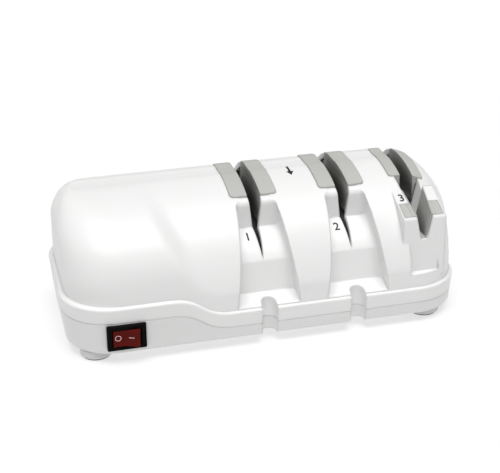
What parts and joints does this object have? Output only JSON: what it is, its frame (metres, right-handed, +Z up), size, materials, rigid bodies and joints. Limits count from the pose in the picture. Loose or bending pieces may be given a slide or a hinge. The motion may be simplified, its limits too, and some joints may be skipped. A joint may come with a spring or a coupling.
{
  "type": "electric knife sharpener",
  "caption": "Long rounded bench-top electric knife sharpener with powered blade slots, a hand finishing V, grey slot linings, a rocker switch and round feet.",
  "frame": {"origin": "middle of the footprint, on the worktop under the feet", "axes": "+X along the machine from the motor end to the finishing stage, -Y towards the front with the switch, +Z up"},
  "size_m": [0.224, 0.1103, 0.0796],
  "materials": {
    "housing": "satin moulded white",
    "base": "satin moulded white",
    "lining": "fine matt grey",
    "switch_case": "gloss black",
    "switch_button": "gloss dark red",
    "steel": "turned",
    "laminations": "oiled",
    "winding": "enamelled wire",
    "contact": "bright",
    "terminal": "bright",
    "carbon": "matt black",
    "abrasive": "coarse grit",
    "abrasive_fine": "fine grit",
    "ceramic": "matt ceramic",
    "bearing": "sintered",
    "insert_plastic": "matt dark",
    "foot": "satin moulded white",
    "sole": "matt",
    "zinc": "zinc plated"
  },
  "bodies": {
    "body": {"upper_housing": "housing", "base_housing": "base", "guide_1_left": "lining", "guide_1_right": "lining", "guide_2_left": "lining", "guide_2_right": "lining", "guide_3_left": "lining", "guide_3_right": "lining", "finishing_insert": "lining", "rod_holder": "insert_plastic", "ceramic_rods": "ceramic", "bearing_block": "insert_plastic", "shaft_bushes": "bearing", "stator_core": "laminations", "field_coils": "winding", "carbon_brushes": "carbon", "brush_holders": "insert_plastic", "motor_bracket_left": "insert_plastic", "motor_bracket_right": "insert_plastic", "motor_bolts": "zinc", "motor_nuts": "zinc", "switch_body": "switch_case", "switch_terminals": "terminal", "cord_gland": "switch_case", "foot_front_left": "foot", "foot_front_right": "foot", "foot_rear_left": "foot", "foot_rear_right": "foot", "foot_soles": "sole", "housing_screws": "zinc"},
    "spindle": {"drive_shaft": "steel", "coarse_wheel_left": "abrasive", "coarse_wheel_right": "abrasive", "fine_wheel_left": "abrasive_fine", "fine_wheel_right": "abrasive_fine", "sleeve_left": "steel", "sleeve_middle": "steel", "shaft_washer": "zinc", "shaft_nut": "zinc", "rotor_core": "laminations", "rotor_windings": "winding", "commutator": "contact", "cooling_fan": "insert_plastic"},
    "rocker": {"switch_rocker": "switch_button"}
  },
  "joints": [
    {"name": "spindle_turn", "type": "hinge", "parent": "body", "child": "spindle", "pos_m": [0, 0.002, 0.037], "axis": [1, 0, 0], "continuous": true},
    {"name": "rocker_tip", "type": "hinge", "parent": "body", "child": "rocker", "pos_m": [-0.0804, -0.04959, 0.01654], "axis": [0, -0.0896, 0.996], "range_deg": [0, 22]}
  ]
}
